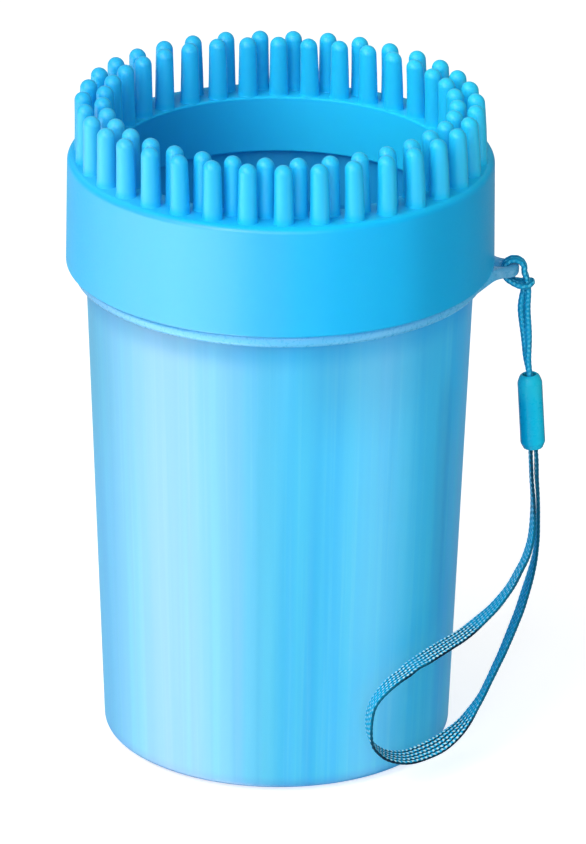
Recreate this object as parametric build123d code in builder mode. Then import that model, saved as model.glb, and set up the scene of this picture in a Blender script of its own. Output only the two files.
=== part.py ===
from build123d import *
from math import cos, hypot, radians, sin
import os

# Paw washer: a tapered cup with a carry ring, a screw-on brush head, a rim seal and a wrist lanyard.
# Millimetres, +Z up, origin at the centre of the base.
# The ear for the lanyard points along +X, the front of the cup is -Y.

os.makedirs("parts", exist_ok=True)

# ---- sizes ----------------------------------------------------------------

# cup
base_r = 39.5            # outer radius just above the rounded base corner
base_corner = 4.5        # rounding of the base corner
shoulder_r = 43.25       # outer radius at the shoulder
shoulder_z = 109.8       # height of the shoulder shelf that carries the ring
wall = 1.8               # wall thickness of the tapered body
floor_t = 2.4            # thickness of the floor
seat_r = 42.0            # plain neck land that the carry ring turns on
seat_top = 113.6         # top of that land
seat_slope = 1.0         # height of the cone from the land in to the neck
neck_r = 41.0            # root radius of the neck thread
neck_bore = 39.2         # inner radius of the neck
neck_bore_z = shoulder_z + 2.2      # lower end of the neck bore
body_bore_z = shoulder_z - 3.4      # upper end of the tapered bore
rim_z = 130.0            # top of the cup's rim
rim_round = 0.5
bore_overrun = 1.0       # how far the bore's cutting profile passes the rim
# corner between floor and wall: (outwards from base_r - wall, up from the floor's top)
floor_corner = [(-2.6, 0), (-0.55, 0.85), (0.05, 2.9)]

# screw thread, single start, right hand
lead = 6.0
thread_turns = 1.25
thread_z = 117.5         # height of the thread's first tooth
cup_crest = 42.0         # crest radius of the cup's thread
ring_root = 42.45        # inner wall of the thread ring
ring_crest = 41.35       # crest radius of the ring's thread
tooth_bury = 0.4         # depth of the tooth inside the wall that carries it
tooth_bury_half = 1.05   # half height of the tooth at its buried face
tooth_root_half = 1.0    # half height at the root
tooth_crest_half = 0.55  # half height at the crest

# carry ring and its ear
ring_play = 0.05         # clearance to the neck land and to the shoulder
ring_in = seat_r + ring_play
ring_out = 46.0
ring_z0 = shoulder_z + ring_play
ring_z1 = 112.95
ring_round = 0.7         # rounding of the ring's outer edges
ear_z0 = 110.0
ear_z1 = 112.6
ear_in = ring_in + 1.2   # the ear starts here, inside the ring's section
ear_tip = 53.3           # furthest point of the ear from the cup's axis
hole_x = 49.2            # centre of the cord hole
hole_r = 1.9
# +Y flank of the ear, from the ring to the rounded end: (x, y)
ear_flank = [(43.2, 13.9), (44.9, 10.1), (46.5, 7.0), (48.1, 4.6), (49.8, 3.5)]
flank_start = (0.5, -1.0)           # tangent at the ring
flank_end = (1.0, -0.12)            # tangent at the rounded end

# soft brush head
skirt_z = 113.0          # lower edge of the collar
skirt_r = 47.75          # radius at the lower edge
skirt_top_r = 47.35      # radius just under the top face
head_in = 44.6           # inner radius of the skirt
top_z = 138.2            # top face
mouth_r = 36.8           # soft bore that the paw goes through
lip_r = 38.7             # outside of the soft inner sleeve
lip_z = 125.0            # lower end of the inner sleeve
web_z = 133.5            # underside of the top face
top_round = 1.4          # rounding of the top's outer edge
mouth_round = 0.45       # rounding of the mouth's upper edge
skirt_round = 0.6        # rounding of the skirt's lower outer edge
bristles = 35            # bristles in each row
bristle_rows = [(43.57, 1.04), (39.25, 5.71)]   # (row radius, degrees past the front)
bristle_r = 2.2          # radius at the root
bristle_tip = 1.95       # radius at the tip
bristle_root_z = top_z - 0.8        # root, sunk into the top face
bristle_z = 151.5        # top of the bristles

# thread ring, inside the head
insert_gap = 0.05        # clearance to the soft head
insert_out = head_in - insert_gap
insert_top = web_z - insert_gap
insert_z = skirt_z + 0.8
flange_in = 39.0         # inner radius of the flange over the rim
flange_z = rim_z + 1.5   # underside of the flange

# rim seal
seal_in = 39.3
seal_out = 42.2
seal_z = rim_z + 0.02
seal_t = 1.46

# lanyard cord
bar_x = (hole_x + hole_r + ear_tip) / 2         # centre of the ear's bar outside the hole
bar_z = (ear_z0 + ear_z1) / 2
cord_r = 0.68
cord_gap = 0.72          # half spacing of the two cord strands
loop_r = 2.62            # centre-line radius of the cord round the bar
cord_x = bar_x + loop_r  # where the strands leave the loops
cord_drop = 6.0          # second point of each strand, below the bar
bight_size = (1.5, 3.1, 1.5)
bight_drop = 2.9         # centre of the bight below the bar
knot_r = 2.05
knot_depth = 6.6         # centre of the knot below the sleeve's top
sleeve_entry = 2.0       # the strands join the sleeve's axis this far above it

# lanyard sleeve, its axis given by two (x, z) points in the plane y = 0
sleeve_top = (56.15, 86.2)
sleeve_end = (57.4, 68.2)
sleeve_r = 2.8
sleeve_round = 1.2       # rounding of the top edge
sleeve_chamfer = 0.4     # chamfer of the bottom edge
sleeve_bore = 2.3        # radius of the wide bore, open at the bottom
sleeve_cap = 4.2         # length above the wide bore
cord_bore = 1.52         # radius of the narrow bore through the top

# sewn strap ends
tack_size = (2.4, 3.5)
tack_corner = 0.5
tack_len = 8.0
tack_start = 0.5         # lower end, above the sleeve's lower end

# wrist strap
tape_t = 0.8             # thickness of the webbing
tape_w = 5.0             # width of the webbing
gathered = 0.66          # share of the width left at the sleeve
gather_z = 65.4          # height of the strap's ends
gather_len = 12.0        # drop over which the webbing opens to full width


def circles(builder):
    """Circular edges of the part being built."""
    return builder.edges().filter_by(GeomType.CIRCLE)


def screw_thread(root_r, crest_r, bury):
    """Helical tooth. bury is the radial step from the root into the carrying wall."""
    crest = crest_r - root_r
    with BuildPart() as thread:
        with BuildLine() as helix:
            Helix(pitch=lead, height=lead * thread_turns, radius=root_r, center=(0, 0, thread_z))
        start = Plane(origin=helix.line @ 0, x_dir=(1, 0, 0), z_dir=helix.line % 0)
        with BuildSketch(start) as tooth:
            with BuildLine():
                Polyline(
                    (bury, -tooth_bury_half), (0.0, -tooth_root_half), (crest, -tooth_crest_half),
                    (crest, tooth_crest_half), (0.0, tooth_root_half), (bury, tooth_bury_half),
                    close=True,
                )
            make_face()
        sweep(sections=tooth.sketch, path=helix.line, is_frenet=True)
    return thread.part


def cup_body():
    """Tapered tumbler with a shoulder shelf and a threaded neck."""
    thread = screw_thread(neck_r, cup_crest, -tooth_bury)
    taper = (shoulder_r - base_r) / (shoulder_z - base_corner)
    with BuildPart() as cup:
        with BuildSketch(Plane.XZ):
            with BuildLine():
                Polyline(
                    (0, 0),
                    (base_r - base_corner * taper, 0),
                    (shoulder_r, shoulder_z),
                    (seat_r, shoulder_z),
                    (seat_r, seat_top),
                    (neck_r, seat_top + seat_slope),
                    (neck_r, rim_z),
                    (0, rim_z),
                    close=True,
                )
            make_face()
        revolve(axis=Axis.Z)
        fillet(circles(cup).group_by(Axis.Z)[0], radius=base_corner)
        # hollow the inside
        with BuildSketch(Plane.XZ):
            with BuildLine():
                Polyline(
                    (0, floor_t),
                    *[(base_r - wall + out, floor_t + up) for out, up in floor_corner],
                    (shoulder_r - wall, body_bore_z),
                    (neck_bore, neck_bore_z),
                    (neck_bore, rim_z + bore_overrun),
                    (0, rim_z + bore_overrun),
                    close=True,
                )
            make_face()
        revolve(axis=Axis.Z, mode=Mode.SUBTRACT)
        # both edges of the rim
        fillet(circles(cup).group_by(Axis.Z)[-1], radius=rim_round)
        add(thread)
    return cup.part


def carry_ring():
    """Ring that turns on the neck land, with an ear for the cord."""
    flank_back = [(x, -y) for x, y in reversed(ear_flank)]
    with BuildPart() as ring:
        with BuildSketch(Plane.XY.offset(ring_z0)):
            Circle(ring_out)
            Circle(ring_in, mode=Mode.SUBTRACT)
        extrude(amount=ring_z1 - ring_z0)
        fillet(circles(ring).sort_by(SortBy.RADIUS)[-2:], radius=ring_round)
        with BuildSketch(Plane.XY.offset(ear_z0)):
            with BuildLine():
                Spline(*ear_flank, tangents=[flank_start, flank_end])
                ThreePointArc(ear_flank[-1], (ear_tip, 0), flank_back[0])
                # the other flank is the mirror image, run back to the ring
                Spline(
                    *flank_back,
                    tangents=[(-flank_end[0], flank_end[1]), (-flank_start[0], flank_start[1])],
                )
                Line(flank_back[-1], ear_flank[0])
            make_face()
            with Locations((hole_x, 0)):
                Circle(hole_r, mode=Mode.SUBTRACT)
            Circle(ear_in, mode=Mode.SUBTRACT)
        extrude(amount=ear_z1 - ear_z0)
    return ring.part


def thread_ring():
    """Rigid ring inside the head, with the internal thread and a flange over the rim."""
    thread = screw_thread(ring_root, ring_crest, tooth_bury)
    with BuildPart() as ring:
        with BuildSketch(Plane.XZ):
            with BuildLine():
                Polyline(
                    (ring_root, insert_z),
                    (insert_out, insert_z),
                    (insert_out, insert_top),
                    (flange_in, insert_top),
                    (flange_in, flange_z),
                    (ring_root, flange_z),
                    close=True,
                )
            make_face()
        revolve(axis=Axis.Z)
        # half a turn away from the cup's thread, so the teeth interleave
        add(thread, rotation=(0, 0, 180))
    return ring.part


def single_bristle():
    """Tapered bristle with a round tip, on the Z axis."""
    tip_z = bristle_z - bristle_tip
    with BuildPart() as bristle:
        with BuildSketch(Plane.XZ):
            with BuildLine():
                Polyline((0, bristle_root_z), (bristle_r, bristle_root_z), (bristle_tip, tip_z))
                ThreePointArc(
                    (bristle_tip, tip_z),
                    (bristle_tip * cos(radians(45)), tip_z + bristle_tip * sin(radians(45))),
                    (0, bristle_z),
                )
                Line((0, bristle_z), (0, bristle_root_z))
            make_face()
        revolve(axis=Axis.Z)
    return bristle.part


def brush_head():
    """One soft moulding: collar, mouth and both rows of bristles."""
    bristle = single_bristle()
    with BuildPart() as head:
        with BuildSketch(Plane.XZ):
            with BuildLine():
                Polyline(
                    (head_in, skirt_z),
                    (skirt_r, skirt_z),
                    (skirt_top_r, top_z),
                    (mouth_r, top_z),
                    (mouth_r, lip_z),
                    (lip_r, lip_z),
                    (lip_r, web_z),
                    (head_in, web_z),
                    close=True,
                )
            make_face()
        revolve(axis=Axis.Z)
        fillet(circles(head).group_by(Axis.Z)[-1].sort_by(SortBy.RADIUS)[-1:], radius=top_round)
        fillet(circles(head).group_by(Axis.Z)[-1].sort_by(SortBy.RADIUS)[:1], radius=mouth_round)
        fillet(circles(head).group_by(Axis.Z)[0].sort_by(SortBy.RADIUS)[-1:], radius=skirt_round)
        for row_r, phase in bristle_rows:
            with PolarLocations(row_r, bristles, start_angle=-90 + phase):
                add(bristle)
    return head.part


def rim_seal():
    """Flat washer on the cup's rim."""
    with BuildPart() as seal:
        with BuildSketch(Plane.XY.offset(seal_z)):
            Circle(seal_out)
            Circle(seal_in, mode=Mode.SUBTRACT)
        extrude(amount=seal_t)
    return seal.part


# ---- lanyard --------------------------------------------------------------

sleeve_len = hypot(sleeve_top[0] - sleeve_end[0], sleeve_top[1] - sleeve_end[1])
sleeve_dir = (
    (sleeve_top[0] - sleeve_end[0]) / sleeve_len,
    0.0,
    (sleeve_top[1] - sleeve_end[1]) / sleeve_len,
)


def on_sleeve(d):
    """Point on the sleeve's axis, d above its lower end."""
    return (sleeve_end[0] + sleeve_dir[0] * d, 0.0, sleeve_end[1] + sleeve_dir[2] * d)


def across_sleeve(d):
    """Plane square to the sleeve's axis, d above its lower end."""
    return Plane(
        origin=on_sleeve(d), x_dir=(sleeve_dir[2], 0.0, -sleeve_dir[0]), z_dir=sleeve_dir
    )


def lanyard_cord():
    """Two strands hitched round the ear's bar and knotted in the sleeve."""
    entry = on_sleeve(sleeve_len + sleeve_entry)
    knot = on_sleeve(sleeve_len - knot_depth)
    with BuildPart() as cord:
        for side in (-cord_gap, cord_gap):
            with Locations(Location((bar_x, side, bar_z), (90, 0, 0))):
                Torus(loop_r, cord_r)
            with BuildLine() as strand:
                Spline(
                    (cord_x, side, bar_z),
                    (cord_x, side, bar_z - cord_drop),
                    (entry[0], side, entry[2]),
                    (knot[0], side, knot[2]),
                    tangents=[(0, 0, -1), (-sleeve_dir[0], 0, -sleeve_dir[2])],
                )
            start = Plane(origin=strand.line @ 0, x_dir=(1, 0, 0), z_dir=strand.line % 0)
            with BuildSketch(start) as section:
                Circle(cord_r)
            sweep(sections=section.sketch, path=strand.line)
        # the bight that closes the hitch just under the bar
        with Locations((cord_x, 0, bar_z - bight_drop)):
            Box(*bight_size)
        with Locations(knot):
            Sphere(knot_r)
    return cord.part


def lanyard_sleeve():
    """Barrel sleeve over the cord knot and the strap ends."""
    with BuildPart() as sleeve:
        with BuildSketch(across_sleeve(0)):
            Circle(sleeve_r)
        extrude(amount=sleeve_len)
        fillet(circles(sleeve).sort_by(Axis.Z)[-1:], radius=sleeve_round)
        chamfer(circles(sleeve).sort_by(Axis.Z)[:1], length=sleeve_chamfer)
        for bore_r, depth in ((sleeve_bore, sleeve_len - sleeve_cap), (cord_bore, sleeve_len)):
            with BuildSketch(across_sleeve(0)):
                Circle(bore_r)
            extrude(amount=depth, mode=Mode.SUBTRACT)
    return sleeve.part


def strap_tack():
    """Sewn ends of the strap, held inside the sleeve."""
    with BuildPart() as tack:
        with BuildSketch(across_sleeve(tack_start)):
            RectangleRounded(*tack_size, tack_corner)
        extrude(amount=tack_len)
    return tack.part


# Strap stations: (point on the centre line, direction of the webbing's width)
stations = [
    ((56.95, -0.12, 65.4), (-0.057, 0.991, -0.1)),
    ((57.04, -0.3, 63.85), (-0.057, 0.991, -0.123)),
    ((57.56, -1.43, 56.96), (-0.064, 0.96, -0.273)),
    ((57.6, -3.75, 51.19), (-0.139, 0.894, -0.425)),
    ((56.65, -6.77, 45.84), (-0.25, 0.843, -0.476)),
    ((54.68, -9.91, 42.33), (-0.299, 0.839, -0.455)),
    ((51.05, -13.63, 37.48), (-0.408, 0.816, -0.41)),
    ((46.69, -17.74, 34.22), (-0.557, 0.775, -0.3)),
    ((42.42, -22.01, 32.11), (-0.667, 0.72, -0.192)),
    ((38.03, -26.33, 30.97), (-0.695, 0.714, -0.085)),
    ((33.95, -30.44, 30.05), (-0.697, 0.713, -0.075)),
    ((30.22, -34.12, 29.14), (-0.656, 0.737, -0.161)),
    ((26.75, -37.32, 27.58), (-0.568, 0.796, -0.208)),
    ((23.53, -39.87, 25.36), (-0.395, 0.876, -0.276)),
    ((21.34, -41.36, 22.36), (-0.209, 0.965, -0.16)),
    ((20.73, -41.61, 18.54), (-0.21, 0.975, 0.069)),
    ((21.17, -40.88, 14.03), (-0.223, 0.957, 0.186)),
    ((23.58, -39.39, 10.29), (-0.348, 0.921, 0.176)),
    ((27.89, -37.04, 7.99), (-0.456, 0.869, 0.193)),
    ((32.53, -33.92, 7.69), (-0.584, 0.783, 0.214)),
    ((36.89, -30.54, 8.48), (-0.676, 0.716, 0.175)),
    ((40.31, -27.26, 9.99), (-0.7, 0.708, -0.092)),
    ((43.04, -24.16, 11.91), (-0.558, 0.74, -0.374)),
    ((45.31, -21.31, 14.33), (-0.411, 0.751, -0.516)),
    ((46.92, -18.89, 16.2), (-0.319, 0.76, -0.566)),
    ((48.76, -16.38, 19.16), (-0.282, 0.816, -0.504)),
    ((50.64, -13.75, 22.32), (-0.304, 0.82, -0.484)),
    ((52.31, -11.28, 25.47), (-0.316, 0.829, -0.461)),
    ((53.96, -8.93, 28.93), (-0.323, 0.846, -0.425)),
    ((55.54, -6.53, 32.65), (-0.302, 0.872, -0.385)),
    ((57.07, -4.19, 37.18), (-0.244, 0.9, -0.363)),
    ((58.27, -2.34, 41.67), (-0.113, 0.952, -0.284)),
    ((58.92, -1.04, 46.93), (-0.013, 0.987, -0.162)),
    ((58.87, -0.28, 54.01), (-0.001, 0.998, -0.066)),
    ((58.36, -0.03, 61.29), (-0.058, 0.998, -0.025)),
    ((58.22, 0, 65.4), (-0.06, 0.997, -0.02)),
]


def wrist_strap():
    """One length of webbing making a hand loop."""
    with BuildPart() as strap:
        for i, (point, width_dir) in enumerate(stations):
            before = stations[max(i - 1, 0)][0]
            after = stations[min(i + 1, len(stations) - 1)][0]
            along = Vector(*after) - Vector(*before)
            # make the width square to the run of the strap
            across = Vector(*width_dir)
            across = across - along.normalized() * across.dot(along.normalized())
            # the webbing gathers as it nears the sleeve
            opening = max(0.0, (gather_z - point[2]) / gather_len)
            gather = min(1.0, gathered + (1 - gathered) * opening)
            with BuildSketch(Plane(origin=point, x_dir=across, z_dir=along)):
                Rectangle(tape_w * gather, tape_t)
        loft(ruled=True)
    return strap.part


# Each piece is labelled and filed under its function's name.
for build in (
    cup_body, carry_ring, thread_ring, brush_head, rim_seal,
    lanyard_cord, lanyard_sleeve, strap_tack, wrist_strap,
):
    piece = build()
    piece.label = build.__name__
    export_step(piece, f"parts/{build.__name__}.step")
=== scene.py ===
"""A round silicone-bristled cleaning cup with a carry ring, cord, barrel sleeve and wrist strap.

The cup stands on the floor with its axis on Z, the bristles on top. +Z is up, -Y the front and
+X the right, where the ring's ear holds the cord and the strap hangs round towards the front.
Mesh sizes are in millimetres; materials, lights and camera are in metres.
"""
import math
import random

import bmesh
import bpy
import numpy as np
from mathutils import Matrix, Vector


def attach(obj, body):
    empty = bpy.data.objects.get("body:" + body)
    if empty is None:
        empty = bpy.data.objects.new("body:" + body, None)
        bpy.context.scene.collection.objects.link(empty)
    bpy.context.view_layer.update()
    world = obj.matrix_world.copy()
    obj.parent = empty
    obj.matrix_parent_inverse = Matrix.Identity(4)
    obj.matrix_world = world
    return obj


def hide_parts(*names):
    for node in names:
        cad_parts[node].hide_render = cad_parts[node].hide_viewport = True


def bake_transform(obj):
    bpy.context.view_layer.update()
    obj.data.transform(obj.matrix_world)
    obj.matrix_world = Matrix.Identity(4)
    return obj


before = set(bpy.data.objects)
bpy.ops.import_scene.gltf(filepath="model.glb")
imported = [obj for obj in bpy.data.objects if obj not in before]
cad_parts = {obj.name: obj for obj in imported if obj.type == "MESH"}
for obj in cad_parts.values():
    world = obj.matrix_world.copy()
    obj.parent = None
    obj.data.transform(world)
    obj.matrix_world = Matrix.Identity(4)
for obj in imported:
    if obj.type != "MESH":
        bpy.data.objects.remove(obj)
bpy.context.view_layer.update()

MM = 0.001
TAU = 2 * math.pi
BLACK = (0.0, 0.0, 0.0)
rng = random.Random(11)

# Cup
CUP_SEGMENTS = 256                   # also used by the head and the ring
FOOT_R, FOOT_CORNER = 39.5, 4.5
SHOULDER_R, SHOULDER_Z = 43.25, 109.8
SEAT_R = 42.0                        # step above the shoulder, where the ring sits
NECK_R, NECK_BORE, NECK_TOP = 41.0, 39.2, 130.0
CUP_WALL, CUP_FLOOR = 1.8, 2.4
FLOOR_HUB_R = 6.0                    # first profile point off the axis
THREAD_CREST_R = 42.0

# Brush head
HEAD_BOTTOM, HEAD_TOP = 113.0, 138.2
HEAD_BORE = 36.8
BRISTLES_PER_ROW = 35
BRISTLE_ROWS = ((43.57, 1.04), (39.25, 5.71))   # row radius, first bristle's angle in degrees
BRISTLE_H, BRISTLE_R, BRISTLE_TIP_R = 13.27, 2.2, 1.95

# Carry ring and its ear
RING_BORE, RING_R = SEAT_R + 0.08, 46.0
RING_BOTTOM, RING_TOP = 109.87, 112.95
EAR_BOTTOM, EAR_TOP, EAR_EDGE = 110.0, 112.6, 0.72
EAR_HOLE_X, EAR_HOLE_R = 49.2, 1.9
EAR_SEGMENTS = 160

# Cord, hitched round the ear's outer bar
BAR_X, BAR_Z = 52.2, (EAR_BOTTOM + EAR_TOP) / 2
HITCH_R = 2.28
CORD_SEGMENTS = 22

# Sleeve axis, top and bottom
SLEEVE_TOP = np.array([56.15, 0, 86.2])
SLEEVE_END = np.array([57.4, 0, 68.2])

# Strap
STRAP_W, STRAP_RIB, STRAP_PICK = 5.3, 1.06, 1.15
STRAP_POINTS_ACROSS = 31
STRAP_U_MIDDLE = 31.8                # weave-map place of the strap's middle line
WEAVE_MAP_SCALE = 100.0              # millimetres to one unit of the weave map


# ---------------------------------------------------------------------------
# Mesh helpers
# ---------------------------------------------------------------------------


def make(name, verts, faces, sharp=None):
    """A smooth object from millimetre points; edges over sharp degrees stay hard."""
    mesh = bpy.data.meshes.new(name)
    mesh.from_pydata([tuple(float(c) * MM for c in v) for v in verts], [], faces)
    mesh.validate()
    ob = bpy.data.objects.new(name, mesh)
    bpy.context.scene.collection.objects.link(ob)
    bm = bmesh.new()
    bm.from_mesh(mesh)
    bmesh.ops.recalc_face_normals(bm, faces=bm.faces)
    bm.to_mesh(mesh)
    bm.free()
    mesh.shade_smooth()
    if sharp:
        mesh.set_sharp_from_angle(angle=math.radians(sharp))
    return ob


def rounded(corners, steps=8):
    """Closed outline through (r, z, radius) corners, each rounded to its radius."""
    out = []
    for i, (x, y, radius) in enumerate(corners):
        if radius <= 0:
            out.append((x, y))
            continue
        corner = np.array([x, y], float)
        back = np.array(corners[i - 1][:2], float) - corner
        ahead = np.array(corners[(i + 1) % len(corners)][:2], float) - corner
        back_len, ahead_len = np.linalg.norm(back), np.linalg.norm(ahead)
        back, ahead = back / back_len, ahead / ahead_len
        angle = math.acos(max(-1, min(1, float(back @ ahead))))
        # a large radius takes at most about half of the side before it
        room = back_len * 0.49 if radius > back_len * 0.4 else back_len
        cut = min(radius / math.tan(angle / 2), room, ahead_len)
        r = cut * math.tan(angle / 2)
        centre = corner + (back + ahead) / np.linalg.norm(back + ahead) * (r / math.sin(angle / 2))
        p0, p1 = corner + back * cut - centre, corner + ahead * cut - centre
        t0, t1 = math.atan2(p0[1], p0[0]), math.atan2(p1[1], p1[0])
        sweep = (t1 - t0 + math.pi) % TAU - math.pi
        for k in range(steps + 1):
            t = t0 + sweep * k / steps
            out.append((centre[0] + r * math.cos(t), centre[1] + r * math.sin(t)))
    return out


def refine(points, step, closed=True):
    """Splits the long sides of an outline so that the faces stay even."""
    out = []
    count = len(points)
    for i in range(count if closed else count - 1):
        a, b = np.array(points[i], float), np.array(points[(i + 1) % count], float)
        parts = max(1, int(math.ceil(np.linalg.norm(b - a) / step)))
        for j in range(parts):
            out.append(tuple(a + (b - a) * j / parts))
    if not closed:
        out.append(tuple(points[-1]))
    return out


def revolve(profile, segments, closed=False, axis_at=None, flip_start=False):
    """Verts and faces of an (r, z) profile turned round Z.

    axis_at(z) gives the axis place at a height, for a leaning body. flip_start winds the fan
    at the first point the other way round.
    """
    verts, faces, rows = [], [], []
    for r, z in profile:
        ox, oy = axis_at(z) if axis_at else (0, 0)
        if r < 1e-6:
            rows.append([len(verts)])
            verts.append((ox, oy, z))
        else:
            rows.append(list(range(len(verts), len(verts) + segments)))
            for k in range(segments):
                t = TAU * k / segments
                verts.append((ox + r * math.cos(t), oy + r * math.sin(t), z))
    pairs = list(zip(rows, rows[1:])) + ([(rows[-1], rows[0])] if closed else [])
    for a, b in pairs:
        for k in range(segments):
            k2 = (k + 1) % segments
            if len(a) == 1:
                faces.append((a[0], b[k2], b[k]) if flip_start else (a[0], b[k], b[k2]))
            elif len(b) == 1:
                faces.append((a[k], a[k2], b[0]))
            else:
                faces.append((a[k], a[k2], b[k2], b[k]))
    return verts, faces


def lathe(name, profile, segments, closed=True):
    return make(name, *revolve(profile, segments, closed), sharp=38)


def spline(points, step):
    """Natural cubic spline: samples about every step, and their lengths along it."""
    p = np.array(points, float)
    gap = np.linalg.norm(np.diff(p[:, :3], axis=0), axis=1)
    knots = np.r_[0, np.cumsum(gap)]
    n = len(p)
    system = np.zeros((n, n))
    rhs = np.zeros((n, p.shape[1]))
    system[0, 0] = system[-1, -1] = 1
    for i in range(1, n - 1):
        system[i, i - 1 : i + 2] = gap[i - 1], 2 * (gap[i - 1] + gap[i]), gap[i]
        rhs[i] = 6 * ((p[i + 1] - p[i]) / gap[i] - (p[i] - p[i - 1]) / gap[i - 1])
    m = np.linalg.solve(system, rhs)
    along = np.linspace(0, knots[-1], max(2, int(round(knots[-1] / step)) + 1))
    i = np.clip(np.searchsorted(knots, along, "right") - 1, 0, n - 2)
    h = gap[i][:, None]
    u, v = (knots[i + 1] - along)[:, None], (along - knots[i])[:, None]
    samples = (
        m[i] * u**3 / (6 * h) + m[i + 1] * v**3 / (6 * h)
        + (p[i] / h - m[i] * h / 6) * u + (p[i + 1] / h - m[i + 1] * h / 6) * v
    )
    return samples, along


def unit(v):
    return v / np.maximum(np.linalg.norm(v, axis=-1, keepdims=True), 1e-12)


def carried_frames(path):
    """Side and up directions carried along a path without twist, side starting near +Y."""
    tangent = unit(np.gradient(path, axis=0))
    side = np.zeros_like(tangent)
    start = np.array([0, 1, 0.0])
    side[0] = unit(start - tangent[0] * (start @ tangent[0]))
    for i in range(1, len(tangent)):
        side[i] = unit(side[i - 1] - tangent[i] * (side[i - 1] @ tangent[i]))
    return side, np.cross(tangent, side)


def rings(name, loops, sharp=None, uv=None, closed=False):
    """Skins equal loops of points: a tube with capped ends, or closed on itself."""
    n, k = len(loops), len(loops[0])
    faces = []
    for i in range(n if closed else n - 1):
        i2 = (i + 1) % n
        for j in range(k):
            j2 = (j + 1) % k
            faces.append((i * k + j, i * k + j2, i2 * k + j2, i2 * k + j))
    if not closed:
        faces.append(tuple(range(k)))
        faces.append(tuple(range((n - 1) * k, n * k)))
    ob = make(name, np.concatenate(loops), faces, sharp)
    if uv is not None:
        layer = ob.data.uv_layers.new(name="weave")
        corner_verts = np.zeros(len(ob.data.loops), int)
        ob.data.loops.foreach_get("vertex_index", corner_verts)
        layer.data.foreach_set("uv", np.asarray(uv, np.float32)[corner_verts].ravel())
    return ob


def union(body, part):
    """Makes body and part one closed skin in body; part is removed."""
    mod = body.modifiers.new("join", "BOOLEAN")
    mod.operation = "UNION"
    mod.solver = "MANIFOLD"
    mod.object = part
    depsgraph = bpy.context.evaluated_depsgraph_get()
    mesh = bpy.data.meshes.new_from_object(body.evaluated_get(depsgraph))
    body.modifiers.clear()
    old = body.data
    body.data = mesh
    bpy.data.meshes.remove(old)
    bpy.data.objects.remove(part)
    return body


def soft_normals(ob, angle):
    ob.data.shade_smooth()
    ob.data.set_sharp_from_angle(angle=math.radians(angle))
    mod = ob.modifiers.new("normals", "WEIGHTED_NORMAL")
    mod.keep_sharp = True
    mod.weight = 60


def paint(ob, material):
    ob.data.materials.clear()
    ob.data.materials.append(material)


# ---------------------------------------------------------------------------
# Shader helpers
# ---------------------------------------------------------------------------


class Nodes:
    """Short forms for building one node tree; inputs are sockets or plain values."""

    def __init__(self, tree, output):
        self.tree = tree
        tree.nodes.clear()
        self.output = self.node(output)

    def node(self, kind, **settings):
        node = self.tree.nodes.new(kind)
        for key, value in settings.items():
            setattr(node, key, value)
        return node

    def put(self, socket, value):
        if isinstance(value, bpy.types.NodeSocket):
            self.tree.links.new(value, socket)
        elif isinstance(value, tuple) and socket.type == "RGBA":
            socket.default_value = (*value, 1)
        else:
            socket.default_value = value

    def filled(self, node, values):
        """Fills the inputs named or numbered in values."""
        for key, value in values.items():
            self.put(node.inputs[key], value)
        return node

    def math(self, operation, *values):
        node = self.node("ShaderNodeMath", operation=operation)
        return self.filled(node, dict(enumerate(values))).outputs[0]

    def add(self, a, b):
        return self.math("ADD", a, b)

    def sub(self, a, b):
        return self.math("SUBTRACT", a, b)

    def mul(self, a, b):
        return self.math("MULTIPLY", a, b)

    def div(self, a, b):
        return self.math("DIVIDE", a, b)

    def span(self, value, over, to=(0.0, 1.0)):
        """Smooth step: as value runs over one pair, the result runs to the other."""
        node = self.node("ShaderNodeMapRange", interpolation_type="SMOOTHSTEP")
        return self.filled(node, dict(enumerate((value, *over, *to)))).outputs[0]

    def mix(self, amount, start, end):
        """Colour from start to end."""
        node = self.node("ShaderNodeMix", data_type="RGBA", blend_type="MIX")
        return self.filled(node, {0: amount, 6: start, 7: end}).outputs[2]

    def xyz(self, vector):
        return self.filled(self.node("ShaderNodeSeparateXYZ"), {0: vector}).outputs

    def vec(self, x, y, z):
        return self.filled(self.node("ShaderNodeCombineXYZ"), {0: x, 1: y, 2: z}).outputs[0]

    def radius(self, x, y):
        return self.math("SQRT", self.add(self.mul(x, x), self.mul(y, y)))

    def turn(self, x, y):
        """Turns round Z, 0 at the front and growing towards +X."""
        return self.div(self.math("ARCTAN2", x, self.mul(y, -1.0)), TAU)

    def ramp(self, value, stops, top=1.0):
        """Smooth curve through (position 0 to 1, value up to top) stops."""
        node = self.node("ShaderNodeValToRGB")
        self.put(node.inputs[0], value)
        node.color_ramp.interpolation = "EASE"
        elements = node.color_ramp.elements
        while len(elements) < len(stops):
            elements.new(0.5)
        for k, (position, level) in enumerate(stops):
            elements[k].position = position
            elements[k].color = (level / top, level / top, level / top, 1)
        return self.mul(node.outputs[0], top) if top != 1.0 else node.outputs[0]

    def around(self, turn, stops, top=1.0):
        """Curve through (degrees from the front towards +X, value) stops."""
        stops = [(degrees / 360 + 0.5, level) for degrees, level in stops]
        return self.ramp(self.add(turn, 0.5), stops, top)

    def bump(self, height, distance, strength, normal=None):
        values = {"Height": height, "Distance": distance, "Strength": strength}
        if normal is not None:
            values["Normal"] = normal
        return self.filled(self.node("ShaderNodeBump"), values).outputs[0]

    def principled(self, **values):
        values = {key.replace("_", " "): value for key, value in values.items()}
        return self.filled(self.node("ShaderNodeBsdfPrincipled"), values).outputs[0]

    def mix_shader(self, amount, start, end):
        node = self.node("ShaderNodeMixShader")
        return self.filled(node, {0: amount, 1: start, 2: end}).outputs[0]

    def done(self, shader):
        self.put(self.output.inputs["Surface"], shader)


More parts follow.
